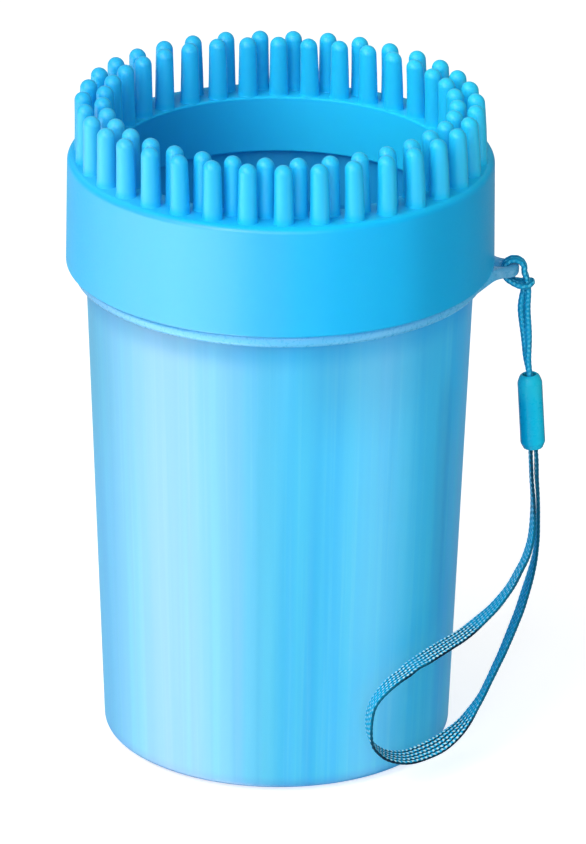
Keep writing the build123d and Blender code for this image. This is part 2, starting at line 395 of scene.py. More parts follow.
class Material(Nodes):
    def __init__(self, name):
        self.material = bpy.data.materials.new(name)
        self.material.use_nodes = True
        super().__init__(self.material.node_tree, "ShaderNodeOutputMaterial")
        self.co = self.node("ShaderNodeTexCoord").outputs["Object"]

    def noise(self, scale, detail=2.0, rough=0.5, at=None):
        values = {"Vector": at or self.co, "Scale": scale, "Detail": detail, "Roughness": rough}
        values["Distortion"] = 0.0
        return self.filled(self.node("ShaderNodeTexNoise"), values).outputs["Fac"]

    def done(self, shader):
        super().done(shader)
        return self.material


def srgb(*channels):
    return tuple(
        (c / 255) / 12.92 if c <= 10 else ((c / 255 + 0.055) / 1.055) ** 2.4 for c in channels
    )


# ---------------------------------------------------------------------------
# Materials
# ---------------------------------------------------------------------------

# Curves round the axis: (degrees from the front towards +X, value)
HEAD_SKIRT_PAINTED_SHADE = [      # painted shade on the skirt, deepest at the front left
    (-180, 0.95), (-90, 1.0), (-71, 0.96), (-55, 0.87), (-39, 0.80), (-20, 0.82), (-5, 0.89),
    (8, 1.0), (31, 0.98), (44, 0.87), (60, 0.95), (75, 1.0), (180, 0.95),
]
HEAD_GLOSS = [     # specular level of the skirt
    (-180, 0.5), (-90, 0.5), (-71, 0.48), (-55, 0.6), (-39, 0.72), (-26, 0.85), (-14, 0.92),
    (-3, 0.75), (8, 0.45), (19, 0.3), (31, 0.18), (48, 0.16), (62, 0.25), (80, 0.4), (180, 0.5),
]
CUP_PAINTED_LIGHT_AND_SHADE = [       # painted light and shade on the cup wall, darkest at the front left
    (-180, 0.80), (-110, 0.72), (-71, 0.72), (-58, 0.67), (-44, 0.56), (-32, 0.50), (-18, 0.62),
    (-6, 0.76), (6, 0.91), (19, 1.0), (70, 1.0), (120, 0.9), (180, 0.80),
]
CUP_SHADE = [      # painted shade on the upper wall, front right
    (-180, 0.0), (2, 0.0), (17, 0.16), (33, 0.14), (46, 0.07), (60, 0.0), (180, 0.0),
]
CUP_DARK_LINE = [       # dark upright line on the right
    (-180, 0.0), (54, 0.0), (60, 0.22), (63, 0.26), (67, 0.05), (71, 0.0), (180, 0.0),
]
CUP_PAINTED_GLOW = [       # painted blue glow on the left
    (-180, 0.0), (-100, 0.6), (-75, 1.0), (-62, 0.7), (-50, 0.0), (180, 0.0),
]
RING_PAINTED_SHADE = [      # painted shade round the ring, deepest on the left
    (-180, 0.9), (-90, 0.76), (-60, 0.74), (-40, 0.92), (-20, 0.97), (-2, 1.0), (14, 0.97),
    (24, 0.91), (34, 0.86), (44, 0.92), (56, 1.0), (180, 0.9),
]
FLOOR_CARD = [     # brightness of the floor as shiny walls mirror it
    (-180, 0.5), (-150, 0.6), (-128, 1.0), (-105, 2.8), (-75, 5.0), (-50, 4.8), (-30, 3.1),
    (-14, 1.4), (3, 0.5), (30, 0.25), (46, 0.8), (62, 2.1), (76, 0.9), (90, 0.12), (125, 0.1),
    (180, 0.5),
]
# (millimetres along the strap, how strongly the ticks and grooves show: painted glints and shade,
# strongest where the tape faces the light)
STRAP_MAP_LENGTH = 220.0
STRAP_ZONES = [
    (0, 0.9), (24, 0.9), (29, 0.4), (38, 0.35), (42, 0.55), (50, 0.25), (56, 0.4), (61, 1.0),
    (72, 1.0), (76, 0.5), (80, 0.95), (84, 0.6), (89, 0.3), (93, 0.5), (101, 0.8), (106, 1.0),
    (128, 1.0), (133, 0.35), (150, 0.2), (178, 0.2), (190, 0.6), (210, 0.9),
]


def head_silicone():
    """Soft blue silicone, brighter on the skirt than on the bristles; light and shade are painted
    on both.
    """
    s = Material("head_silicone")
    grain = s.noise(scale=3200, detail=3, rough=0.6)
    cloud = s.noise(scale=38)
    fine = s.noise(scale=420)
    x, y, z = s.xyz(s.co)
    radius = s.radius(x, y)
    skirt = s.mul(s.span(radius, over=(0.0450, 0.0464)), s.span(z, over=(0.1385, 0.1372)))
    turn = s.turn(x, y)
    # painted shade round the skirt
    skirt_shade = s.around(turn, HEAD_SKIRT_PAINTED_SHADE)
    gloss = s.around(turn, HEAD_GLOSS)

    base = s.mix(cloud, (0.001, 0.485, 0.92), (0.003, 0.51, 0.96))
    base = s.mix(s.span(fine, over=(0.5, 0.8), to=(0, 0.08)), base, (0.01, 0.55, 0.97))
    # painted light and shade off the skirt: the bristles, the top and the mouth brighten from left
    # to right, with a painted shade at the front right and a painted paler highlight at the front
    # left
    left = s.mix(cloud, (0.010, 0.46, 0.84), (0.013, 0.49, 0.87))
    right = s.mix(cloud, (0.014, 0.62, 0.99), (0.020, 0.66, 1.0))
    bright = s.mix(s.span(x, over=(-0.040, 0.032)), left, right)
    front_right_shade = s.mul(
        s.span(y, over=(-0.030, 0.0), to=(0.26, 0.0)), s.span(x, over=(-0.03, 0.02))
    )
    bright = s.mix(front_right_shade, bright, (0.0, 0.34, 0.70))
    front_left_highlight = s.mul(
        s.span(y, over=(-0.020, 0.0), to=(0.30, 0.0)), s.span(x, over=(-0.02, -0.038))
    )
    bright = s.mix(front_left_highlight, bright, (0.10, 0.68, 0.92))
    # painted shade on the mouth's wall, deepest on the left
    bore = s.mul(s.span(radius, over=(0.0374, 0.0369)), s.span(z, over=(0.1382, 0.1377)))
    bore_shade = s.mul(bore, s.span(x, over=(-0.036, 0.012), to=(0.42, 0.0)))
    bright = s.mix(bore_shade, bright, (0.0, 0.12, 0.36))

    # the top edge, where the skirt meets the bristles, shines least
    top_edge = s.mul(s.span(z, over=(0.1372, 0.1379)), s.span(z, over=(0.1402, 0.1386)))
    off_skirt_gloss = s.mul(s.sub(1.0, skirt), 0.45)
    shine = s.mul(s.add(s.mul(gloss, skirt), off_skirt_gloss), s.sub(1.0, s.mul(top_edge, 0.8)))
    soft_bump = s.bump(fine, distance=0.00008, strength=0.35)
    return s.done(s.principled(
        Base_Color=s.mix(skirt, bright, s.mix(skirt_shade, BLACK, base)) if False else
        s.mix(skirt, bright, s.mix(skirt_shade, BLACK, base)),
        Roughness=s.span(grain, over=(0.3, 0.7), to=(0.35, 0.45)),
        IOR=1.5, Subsurface_Weight=0.22, Subsurface_Radius=(0.25, 0.9, 1.6),
        Subsurface_Scale=0.0016, Specular_IOR_Level=shine,
        Normal=s.bump(grain, distance=0.000035, strength=0.5, normal=soft_bump),
    ))


def cup_frosted():
    """Frosted translucent plastic, with faint flow streaks up the side."""
    s = Material("cup_frosted")
    x, y, z = s.xyz(s.co)
    radius = s.radius(x, y)
    inverse = s.div(1.0, s.math("MAXIMUM", radius, 0.004))

    def streaks(across, up, detail=2, rough=0.5):
        """Noise drawn out up the wall, at its own scale round the axis and up it."""
        at = s.vec(s.mul(s.mul(x, inverse), across), s.mul(s.mul(y, inverse), across), s.mul(z, up))
        return s.noise(scale=1.0, detail=detail, rough=rough, at=at)

    wide = streaks(across=3.4, up=3.0, detail=3, rough=0.55)
    thin = streaks(across=12.0, up=6.0, rough=0.45)
    hair = streaks(across=38.0, up=12.0)
    grain = s.noise(scale=2600, detail=3, rough=0.6)
    base = s.mix(s.span(wide, over=(0.3, 0.7)), (0.008, 0.56, 0.98), (0.016, 0.62, 1.0))
    base = s.mix(s.span(thin, over=(0.35, 0.65), to=(0, 0.20)), base, (0.11, 0.82, 1.0))
    base = s.mix(s.span(hair, over=(0.5, 0.74), to=(0, 0.16)), base, (0.20, 0.86, 1.0))
    # painted shade: the wall deepens towards the shoulder, with a painted shadow just under the
    # ring
    base = s.mix(s.span(z, over=(0.078, 0.108), to=(0, 0.3)), base, (0.006, 0.54, 1.0))
    under_ring_shadow = s.span(z, over=(0.1015, 0.1088), to=(0, 1))
    base = s.mix(s.mul(under_ring_shadow, 0.32), base, (0.0, 0.27, 0.75))
    # painted light and shade: the wall is darker at the front left and brighter on the right
    turn = s.turn(x, y)
    base = s.mix(s.around(turn, CUP_PAINTED_LIGHT_AND_SHADE), BLACK, base)
    # painted shade on the upper wall at the front right
    shade = s.mul(s.around(turn, CUP_SHADE), s.span(z, over=(0.080, 0.102)))
    base = s.mix(shade, base, BLACK)
    # broad bands of two slightly different blues, stronger towards the foot
    band = streaks(across=7.0, up=2.0)
    low = s.span(z, over=(0.090, 0.040), to=(0.35, 1.0))
    green_band = s.mul(s.span(band, over=(0.48, 0.62), to=(0, 0.14)), low)
    base = s.mix(green_band, base, (0.05, 0.72, 0.80))
    violet_band = s.mul(s.span(band, over=(0.50, 0.38), to=(0, 0.09)), low)
    base = s.mix(violet_band, base, (0.20, 0.52, 1.0))
    # a faint dark upright line on the right of the wall
    dark_line_height = s.mul(s.span(z, over=(0.100, 0.085)), s.span(z, over=(0.020, 0.050)))
    base = s.mix(s.mul(s.around(turn, CUP_DARK_LINE), dark_line_height), base, (0.0, 0.20, 0.56))
    # painted blue glow on the lower left of the wall
    edge = s.mul(s.around(turn, CUP_PAINTED_GLOW), s.span(z, over=(0.095, 0.055)))
    # painted shade: darker towards the foot, where the cup meets the floor
    foot = s.span(z, over=(0.0005, 0.0045), to=(1, 0))
    base = s.mix(s.mul(foot, 0.55), base, srgb(20, 96, 190))

    # painted glow, standing in for light soaking through the milky wall, on its outer face only:
    # the middle of the wall lies at radius 0.0356 z + 0.0384
    mid_wall = s.add(s.mul(z, 0.0356), 0.0384)
    outside = s.span(s.sub(radius, mid_wall), over=(0, 0.0004), to=(0.045, 0.14))
    thin_rough = s.span(thin, over=(0.3, 0.7), to=(0.32, 0.40))
    streak_bump = s.bump(thin, distance=0.00028, strength=0.3)
    surface = s.principled(
        Base_Color=base,
        Roughness=s.add(thin_rough, s.span(grain, over=(0.3, 0.7), to=(0, 0.05))),
        IOR=1.7, Subsurface_Weight=0.0, Coat_Weight=0.2, Coat_Roughness=0.4,
        Specular_IOR_Level=s.span(under_ring_shadow, over=(0, 1), to=(0.9, 0.55)),
        Emission_Color=s.mix(edge, s.mix(0.15, base, (0.0, 0.45, 0.9)), (0.03, 0.36, 1.0)),
        Emission_Strength=s.add(outside, s.mul(edge, 0.07)),
        Normal=s.bump(grain, distance=0.00003, strength=0.5, normal=streak_bump),
    )
    through = s.node("ShaderNodeBsdfTranslucent")
    s.put(through.inputs["Color"], s.mix(0.2, base, (0.6, 0.9, 1.0)))
    return s.done(s.mix_shader(0.18, surface, through.outputs[0]))


def ring_clear():
    """Pale translucent plastic, deeper on the ear, with painted shade round the ring and a faint
    painted glow.
    """
    s = Material("ring_clear")
    x, y, _ = s.xyz(s.co)
    radius = s.radius(x, y)
    grain = s.noise(scale=1400, detail=3, rough=0.6)
    cloud = s.noise(scale=60)
    base = s.mix(cloud, (0.09, 0.50, 0.84), (0.13, 0.55, 0.88))
    # painted shade round the ring, deepest on the left
    base = s.mix(s.around(s.turn(x, y), RING_PAINTED_SHADE), (0.0, 0.12, 0.42), base)
    ear_colour = s.mix(cloud, (0.05, 0.29, 0.48), (0.09, 0.34, 0.54))
    base = s.mix(s.span(radius, over=(0.0465, 0.050), to=(0, 0.8)), base, ear_colour)
    return s.done(s.principled(
        Base_Color=base, Roughness=s.span(grain, over=(0.3, 0.7), to=(0.26, 0.32)), IOR=1.5,
        Subsurface_Weight=0.15, Subsurface_Radius=(0.4, 0.9, 1.4), Subsurface_Scale=0.001,
        # the emission is a faint painted glow, lifting the shade under the head's overhang
        Specular_IOR_Level=0.6, Emission_Color=s.mix(0.5, base, (0.05, 0.42, 0.82)),
        Emission_Strength=0.1, Normal=s.bump(cloud, distance=0.00003, strength=0.2),
    ))


def sleeve_gloss():
    """Glossy plastic, with painted shade on the side towards the cup and where it turns away, and a
    painted highlight near the top.
    """
    s = Material("sleeve_gloss")
    grain = s.noise(scale=900)
    x, _, z = s.xyz(s.co)
    # distance in X from the leaning axis; the axis moves 0.0694 outwards per unit down
    axis_x = s.add(SLEEVE_TOP[0] * MM, s.mul(s.sub(SLEEVE_TOP[2] * MM, z), 0.0694))
    off_axis = s.sub(x, axis_x)
    # painted shade: darker on the side towards the cup
    base = s.mix(s.span(off_axis, over=(-0.0025, 0.0012)), (0.0, 0.27, 0.49), (0.003, 0.56, 0.83))
    cloud = s.noise(scale=150)
    base = s.mix(s.span(cloud, over=(0.3, 0.7), to=(0, 0.15)), base, (0.0, 0.44, 0.72))
    # painted highlight near the top
    base = s.mix(s.span(z, over=(0.0785, 0.0835), to=(0, 0.35)), base, (0.03, 0.62, 0.74))
    # painted shade where the surface turns away from view
    rim = s.node("ShaderNodeLayerWeight")
    s.put(rim.inputs["Blend"], 0.5)
    rim_shade = s.span(rim.outputs["Facing"], over=(0.5, 0.95), to=(0, 0.75))
    return s.done(s.principled(
        Base_Color=s.mix(rim_shade, base, (0.002, 0.16, 0.27)),
        Roughness=s.span(grain, over=(0.3, 0.7), to=(0.26, 0.34)), IOR=1.45,
        Specular_IOR_Level=0.12, Coat_Weight=0.06, Coat_Roughness=0.08,
        Normal=s.bump(grain, distance=0.00003, strength=0.3),
    ))


def weave(name, rib, pick, dark, mid, light, rough, groove_depth, zones=None, hem=None):
    """Woven tape, laid out in millimetres across (u) and along (v) from the weave map.

    rib and pick are the spacings across and along; hem is (middle u, half width).
    """
    s = Material(name)
    u, v, _ = s.xyz(s.node("ShaderNodeUVMap", uv_map="weave").outputs[0])
    u = s.mul(u, WEAVE_MAP_SCALE)
    v = s.mul(v, WEAVE_MAP_SCALE)
    # the warp yarns snake a little from pick to pick
    snake = s.mul(s.math("SINE", s.mul(v, TAU / (pick * 1.15))), rib * 0.09)
    ribs = s.add(s.div(s.add(u, snake), rib), 0.5)
    half_shift = s.mul(s.math("ABSOLUTE", s.math("MODULO", s.math("FLOOR", ribs), 2.0)), 0.5)
    from_crown = s.math("ABSOLUTE", s.sub(s.math("FRACT", ribs), 0.5))
    groove = s.span(from_crown, over=(0.22, 0.37), to=(0, 1))
    # light ticks, offset by half a pick on every other rib
    phase = s.math("FRACT", s.add(s.div(v, pick), half_shift))
    tick = s.mul(
        s.span(phase, over=(0.06, 0.18), to=(0, 1)), s.span(phase, over=(0.52, 0.68), to=(1, 0))
    )
    yarn = s.math("FRACT", s.add(s.mul(v, 4.0 / pick), s.mul(u, 3.0)))
    yarn = s.math("ABSOLUTE", s.sub(yarn, 0.5))
    fuzz = s.noise(scale=2400, detail=3, rough=0.6)
    # tight and slack stretches of the weave along the tape, at random; the strap's zones add
    # painted glints and shade, strongest where the tape faces the light
    slack = s.noise(scale=1.0, rough=0.6, at=s.vec(s.mul(u, 0.16), s.mul(v, 0.16), 3.0))
    if zones:
        stops = [(place / STRAP_MAP_LENGTH, level) for place, level in zones]
        zone = s.ramp(s.div(v, STRAP_MAP_LENGTH), stops)
        tick_and_groove_strength = s.mul(zone, s.span(slack, over=(0.35, 0.62), to=(0.75, 1.0)))
    else:
        tick_and_groove_strength = s.span(slack, over=(0.35, 0.62), to=(0.35, 1.0))

    colour = s.mix(s.span(fuzz, over=(0.3, 0.7), to=(0, 1)), mid, tuple(c * 1.3 for c in mid))
    colour = s.mix(s.mul(yarn, 0.35), colour, dark)
    on_crown = s.span(from_crown, over=(0.34, 0.16), to=(0.0, 1.0))
    colour = s.mix(s.mul(s.mul(tick, tick_and_groove_strength), on_crown), colour, light)
    # the dark grooves between the ribs are partly painted shade
    groove_shade = s.mul(groove, s.span(tick_and_groove_strength, over=(0.2, 1.0), to=(0.35, 1.0)))
    colour = s.mix(s.mul(groove_shade, groove_depth), colour, dark)
    if hem:
        middle, half_width = hem
        off_middle = s.math("ABSOLUTE", s.sub(u, middle))
        hem_dark = s.span(off_middle, over=(half_width - 0.2, half_width + 0.08), to=(0, 0.55))
        colour = s.mix(hem_dark, colour, dark)
    fuzz_bump = s.bump(fuzz, distance=0.00004, strength=0.6)
    return s.done(s.principled(
        Base_Color=colour,
        Roughness=s.span(fuzz, over=(0.3, 0.7), to=(rough - 0.1, rough + 0.1)),
        Sheen_Weight=0.06, Sheen_Roughness=0.35, Sheen_Tint=(0.1, 0.8, 1.0), IOR=1.5,
        Specular_IOR_Level=0.14,
        Normal=s.bump(yarn, distance=0.00006, strength=0.5, normal=fuzz_bump),
    ))


def plain(name, grain_scale, cloud_scale, colours, rough, **more):
    """Slightly clouded, finely grained plastic."""
    s = Material(name)
    grain = s.noise(scale=grain_scale, detail=3, rough=0.6)
    return s.done(s.principled(
        Base_Color=s.mix(s.noise(scale=cloud_scale), *colours),
        Roughness=s.span(grain, over=(0.3, 0.7), to=rough),
        Normal=s.bump(grain, distance=0.00004, strength=0.5), **more,
    ))


def pale_floor():
    """Near-white floor; shiny walls see it bright on the left and dim on the right."""
    s = Material("pale_floor")
    ray = s.node("ShaderNodeLightPath").outputs
    cloud = s.span(s.noise(scale=3.0), over=(0.3, 0.7))
    plain_floor = s.principled(
        Base_Color=s.mix(cloud, (0.66, 0.66, 0.66), (0.68, 0.68, 0.68)), Roughness=0.85,
        Specular_IOR_Level=0.1, Emission_Color=(1.0, 1.0, 1.0),
        Emission_Strength=s.mul(ray["Is Camera Ray"], 0.66),
    )
    # Incoming points back along the ray, so both signs are turned round
    x, y, _ = s.xyz(s.node("ShaderNodeNewGeometry").outputs["Incoming"])
    turn = s.div(s.math("ARCTAN2", s.mul(x, -1.0), y), TAU)
    card = s.node("ShaderNodeEmission")
    s.put(card.inputs["Strength"], s.around(turn, FLOOR_CARD, top=8.0))
    return s.done(s.mix_shader(ray["Is Glossy Ray"], plain_floor, card.outputs[0]))


# ---------------------------------------------------------------------------
# Cup: lathe-turned shell with its neck thread
# ---------------------------------------------------------------------------


def thread_ridge(turns=1.25, bottom=117.5, lead=6.0):
    """A ridge wound up the neck, fading out at both ends."""
    steps = int(turns * 150)
    loops = []
    for i in range(steps + 1):
        f = i / steps
        angle = TAU * turns * f
        z = bottom + lead * turns * f
        grow = min(1.0, f * turns * 9, (1 - f) * turns * 9)
        grow = 0.08 + 0.92 * (grow * grow * (3 - 2 * grow))
        h = (THREAD_CREST_R - NECK_R) * grow
        # (out from the neck, up from the middle of the ridge)
        section = [
            (-0.5, -1.05), (0.0, -1.0), (h * 0.5, -0.8), (h * 0.88, -0.6), (h, -0.42),
            (h, 0.42), (h * 0.88, 0.6), (h * 0.5, 0.8), (0.0, 1.0), (-0.5, 1.05),
        ]
        loops.append(np.array([
            ((NECK_R + out) * math.cos(angle), (NECK_R + out) * math.sin(angle), z + up)
            for out, up in section
        ]))
    return rings("neck_thread", loops, sharp=50)


def build_cup(material):
    taper = (SHOULDER_R - FOOT_R) / (SHOULDER_Z - FOOT_CORNER)
    inner_r = FOOT_R - CUP_WALL
    # (radius, height, corner radius), up the outside and down the inside
    wall = rounded([
        (FOOT_R - FOOT_CORNER * taper, 0, FOOT_CORNER), (SHOULDER_R, SHOULDER_Z, 0.35),
        (SEAT_R, SHOULDER_Z, 0.15), (SEAT_R, 113.6, 0.2), (NECK_R, 114.6, 0.4),
        (NECK_R, NECK_TOP, 0.6), (NECK_BORE, NECK_TOP, 0.6), (NECK_BORE, 112.0, 3.0),
        (SHOULDER_R - CUP_WALL, 106.4, 3.0), (inner_r + 0.05, 5.3, 1.2),
        (inner_r - 0.55, 3.25, 0.9), (inner_r - 2.6, CUP_FLOOR, 1.0),
    ])
    # rounded() wraps round, so the two ends on the axis are added afterwards
    profile = [(0, 0.0), (FLOOR_HUB_R, 0.0)] + wall + [(FLOOR_HUB_R, CUP_FLOOR), (0, CUP_FLOOR)]
    profile = refine(profile, 5.0, closed=False)
    cup = lathe("cup_shell", profile, CUP_SEGMENTS, closed=False)
    cup = union(cup, thread_ridge())
    soft_normals(cup, 38)
    paint(cup, material)
    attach(cup, "cup")
    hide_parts("cup_body")


# ---------------------------------------------------------------------------
# Brush head: one skin of collar, mouth and two rows of bristles
# ---------------------------------------------------------------------------

# (radius, height, corner radius)
HEAD_CORNERS = [
    (44.6, HEAD_BOTTOM, 0.25), (47.75, HEAD_BOTTOM, 0.7), (47.35, HEAD_TOP, 1.5),
    (HEAD_BORE, HEAD_TOP, 0.5), (HEAD_BORE, 125.0, 0.5), (38.7, 125.0, 0.4),
    (38.7, 133.5, 0.3), (44.6, 133.5, 0.3),
]
# (radius, height over the head's top) of a bristle's root and its small fillet
BRISTLE_ROOT = [
    (0, -0.75), (BRISTLE_R, -0.75), (2.3, -0.1), (2.34, 0.0), (2.28, 0.1), (2.23, 0.3),
    (BRISTLE_R, 0.7),
]
# degrees from +X towards the back, and the height added to bristles there
HEIGHT_ANGLES = [-180, -150, -120, -60, 0, 30, 60, 90, 105, 120, 150, 180]
HEIGHT_EXTRAS = [0.32, 0.05, -0.06, -0.04, 0.0, 0.08, 0.2, 0.14, 0.3, 0.48, 0.5, 0.36]


def bristle(cx, cy, lean, height):
    profile = [(r, HEAD_TOP + z) for r, z in BRISTLE_ROOT]
    tip = BRISTLE_TIP_R
    for k in range(1, 7):
        f = k / 6
        z = HEAD_TOP + 0.7 + (height - tip - 0.7) * f
        profile.append((BRISTLE_R + (tip - BRISTLE_R) * f, z))
    for k in range(1, 9):
        a = math.pi / 2 * k / 8
        r = tip * math.cos(a) if k < 8 else 0.0
        profile.append((r, HEAD_TOP + height - tip + tip * math.sin(a)))

    def axis_at(z):
        f = max(0.0, (z - HEAD_TOP) / height)
        return cx + lean[0] * f * f, cy + lean[1] * f * f

    return revolve(profile, 28, axis_at=axis_at, flip_start=True)


def bristle_rows():
    verts, faces = [], []
    for row_r, phase in BRISTLE_ROWS:
        for i in range(BRISTLES_PER_ROW):
            t = math.radians(-90 + phase + 360 / BRISTLES_PER_ROW * i)
            t += math.radians(0.55) * (1 + math.sin(t)) / 2
            # the soft bristles do not all stand dead straight
            back = max(0.0, math.sin(t))
            right, left = max(0.0, math.cos(t)), max(0.0, -math.cos(t))
            lean = (
                -0.2 - 0.36 * right + 0.04 * back + rng.uniform(-0.16, 0.16),
                0.55 * min(1.0, 2.2 * back * left) + rng.uniform(-0.16, 0.16),
            )
            degrees = math.degrees(math.atan2(math.sin(t), math.cos(t)))
            extra = float(np.interp(degrees, HEIGHT_ANGLES, HEIGHT_EXTRAS))
            height = BRISTLE_H + extra - rng.uniform(0, 0.08)
            new_verts, new_faces = bristle(row_r * math.cos(t), row_r * math.sin(t), lean, height)
            first = len(verts)
            verts += new_verts
            faces += [tuple(first + q for q in face) for face in new_faces]
    return make("bristle_rows", verts, faces)


def build_head(material):
    head = lathe("bristle_head", refine(rounded(HEAD_CORNERS), 2.5), CUP_SEGMENTS)
    head = union(head, bristle_rows())
    soft_normals(head, 42)
    paint(head, material)
    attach(head, "head")
    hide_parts("brush_head")


# ---------------------------------------------------------------------------
# Carry ring: a rounded bead with a pierced ear on the right
# ---------------------------------------------------------------------------

# (x, y) of the back half of the ear's outline: straight points inside the ring,
# then a curve from the ring to the ear's tip
EAR_INSIDE = [(44.0, 0.0), (44.0, 6.0), (43.8, 12.0)]
EAR_CURVE = [
    (43.55, 13.2), (45.1, 9.9), (46.5, 7.05), (48.1, 4.65), (49.8, 3.55), (51.55, 2.95),
    (52.78, 1.75), (53.3, 0.0),
]


def build_ear():
    curve, _ = spline([(x, y, 0) for x, y in EAR_CURVE], 0.1)
    outline = EAR_INSIDE + [(p[0], p[1]) for p in curve]
    polar = sorted(
        (math.atan2(y, x - EAR_HOLE_X), math.hypot(x - EAR_HOLE_X, y)) for x, y in outline
    )
    angles = np.array([-math.pi + TAU * (k + 0.5) / EAR_SEGMENTS for k in range(EAR_SEGMENTS)])
    rim_r = np.interp(np.abs(angles), [p[0] for p in polar], [p[1] for p in polar])

    def loop(inset, z, hole):
        r = np.full(EAR_SEGMENTS, EAR_HOLE_R) + inset if hole else rim_r - inset
        x = EAR_HOLE_X + r * np.cos(angles)
        return np.stack([x, r * np.sin(angles), np.full(EAR_SEGMENTS, z)], -1)

    def rounded_edge(z, up, hole, to_flat):
        """Quarter round between wall and flat, in either order; up is 1 or -1."""
        loops = []
        for k in range(7):
            a = math.pi / 2 * k / 6
            if not to_flat:
                a = math.pi / 2 - a
            loops.append(
                loop(EAR_EDGE * (1 - math.cos(a)), z + up * EAR_EDGE * math.sin(a), hole)
            )
        return loops

    def flat(z, from_hole):
        start, end = loop(EAR_EDGE, z, from_hole), loop(EAR_EDGE, z, not from_hole)
        return [start + (end - start) * f for f in (0.25, 0.5, 0.75)]

    high, low = EAR_TOP - EAR_EDGE, EAR_BOTTOM + EAR_EDGE
    loops = (
        rounded_edge(high, 1, hole=True, to_flat=True)
        + flat(EAR_TOP, from_hole=True)
        + rounded_edge(high, 1, hole=False, to_flat=False)
        + rounded_edge(low, -1, hole=False, to_flat=True)
        + flat(EAR_BOTTOM, from_hole=False)
        + rounded_edge(low, -1, hole=True, to_flat=False)
    )
    return rings("ear", loops, closed=True)


def build_ring(material):
    profile = rounded([
        (RING_BORE, RING_TOP, 0.2), (RING_BORE, RING_BOTTOM, 0.2), (RING_R, RING_BOTTOM, 1.35),
        (RING_R, RING_TOP, 1.3),
    ], 9)
    ring = lathe("ear_ring", refine(profile, 0.9), CUP_SEGMENTS)
    ring = union(ring, build_ear())
    bm = bmesh.new()
    bm.from_mesh(ring.data)
    bmesh.ops.remove_doubles(bm, verts=bm.verts, dist=5e-7)
    bm.to_mesh(ring.data)
    bm.free()
    soft_normals(ring, 45)
    paint(ring, material)
    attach(ring, "ring")
    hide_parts("carry_ring")


# ---------------------------------------------------------------------------
# Cord: a girth hitch round the ear's outer bar, down to the sleeve
# ---------------------------------------------------------------------------

# The two strands from the sleeve up: (height, x midway, half their spread in x, and in y)
STRAND_PAIR = (
    (79.6, 56.6, 0.0, 0.62), (83.0, 56.37, 0.0, 0.66), (86.4, 56.1, 0.03, 0.68),
    (89.3, 55.63, 0.16, 0.65), (92.5, 55.42, 0.36, 0.56), (95.8, 55.2, 0.56, 0.38),
    (99.0, 54.85, 0.68, 0.2), (102.2, 54.62, 0.72, 0.1), (104.8, 54.8, 0.64, 0.26),
    (106.6, 55.0, 0.42, 0.52), (108.0, 55.12, 0.1, 0.68), (109.5, 54.85, 0.0, 0.7),
)
BAR_DEGREES = (-10, 8, 30, 52, 74, 96, 118, 140, 162, 184, 204)
# (x, y away from the middle, z) below the bar, out to the bight
BIGHT = (
    (50.45, 0.8, 109.3), (51.4, 1.1, 108.6), (52.6, 1.45, 108.0), (53.9, 1.82, 107.7),
    (55.2, 1.7, 107.8), (56.0, 1.05, 108.1),
)


def cord_strand(side):
    """From inside the sleeve up and round the bar to the bight; side -1 front, 1 back."""
    points = [(x - side * dx, side * dy, z) for z, x, dx, dy in STRAND_PAIR]
    for degrees in BAR_DEGREES:
        a = math.radians(degrees)
        points.append((BAR_X + HITCH_R * math.cos(a), side * 0.7, BAR_Z + HITCH_R * math.sin(a)))
    return points + [(x, side * y, z) for x, y, z in BIGHT]


def build_cord(material):
    points = cord_strand(-1) + [(56.25, 0.0, 108.25)] + cord_strand(1)[::-1]
    path, along = spline(points, 0.11)
    side, up = carried_frames(path)
    a = np.arange(CORD_SEGMENTS) * TAU / CORD_SEGMENTS
    loops, uvs = [], []
    for i in range(len(path)):
        # two-direction braid standing out of the round
        twist = along[i] * TAU / 2.4
        braid = np.cos(4 * a + twist) * np.cos(4 * a - twist)
        z = path[i][2]
        # thicker between the sleeve and the hitch
        full = max(0.0, min(1.0, (z - 85.0) / 6.0, (106.0 - z) / 4.0))
        r = 0.665 + 0.075 * full + 0.05 * braid
        around = np.cos(a)[:, None] * side[i] + np.sin(a)[:, None] * up[i]
        loops.append(path[i] + r[:, None] * around)
        for k in range(CORD_SEGMENTS):
            # 4.2 mm of weave round the cord
            uvs.append((k * 4.2 / CORD_SEGMENTS / WEAVE_MAP_SCALE, along[i] / WEAVE_MAP_SCALE))
    cord = rings("cord_braid", loops, uv=uvs)
    paint(cord, material)
    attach(cord, "lanyard")
    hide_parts("lanyard_cord")


# ---------------------------------------------------------------------------
# Barrel sleeve
# ---------------------------------------------------------------------------


def build_sleeve(material):
    length = float(np.linalg.norm(SLEEVE_TOP - SLEEVE_END))
    # (radius, height over the lower end, corner radius)
    profile = rounded([
        (1.95, 0.0, 0.1), (2.2, 0.0, 0.15), (2.8, 1.35, 0.5), (2.8, length - 2.1, 1.5),
        (2.25, length - 0.62, 0.9), (1.45, length, 0.25), (1.42, length - 3.0, 0.2),
        (2.2, length - 4.2, 0.3), (2.2, 1.6, 0.4),
    ], 7)
    sleeve = lathe("sleeve_barrel", refine(profile, 0.8), 72)
    # stand it on the leaning axis
    z_axis = unit(SLEEVE_TOP - SLEEVE_END)
    x_axis = np.array([z_axis[2], 0, -z_axis[0]])
    y_axis = np.cross(z_axis, x_axis)
    rows = [[x_axis[i], y_axis[i], z_axis[i], SLEEVE_END[i] * MM] for i in range(3)]
    sleeve.data.transform(Matrix(rows + [[0, 0, 0, 1]]))
    soft_normals(sleeve, 50)
    paint(sleeve, material)
    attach(sleeve, "lanyard")
    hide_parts("lanyard_sleeve")


# ---------------------------------------------------------------------------
# Wrist strap: ribbed webbing, both ends gathered in the sleeve
# ---------------------------------------------------------------------------

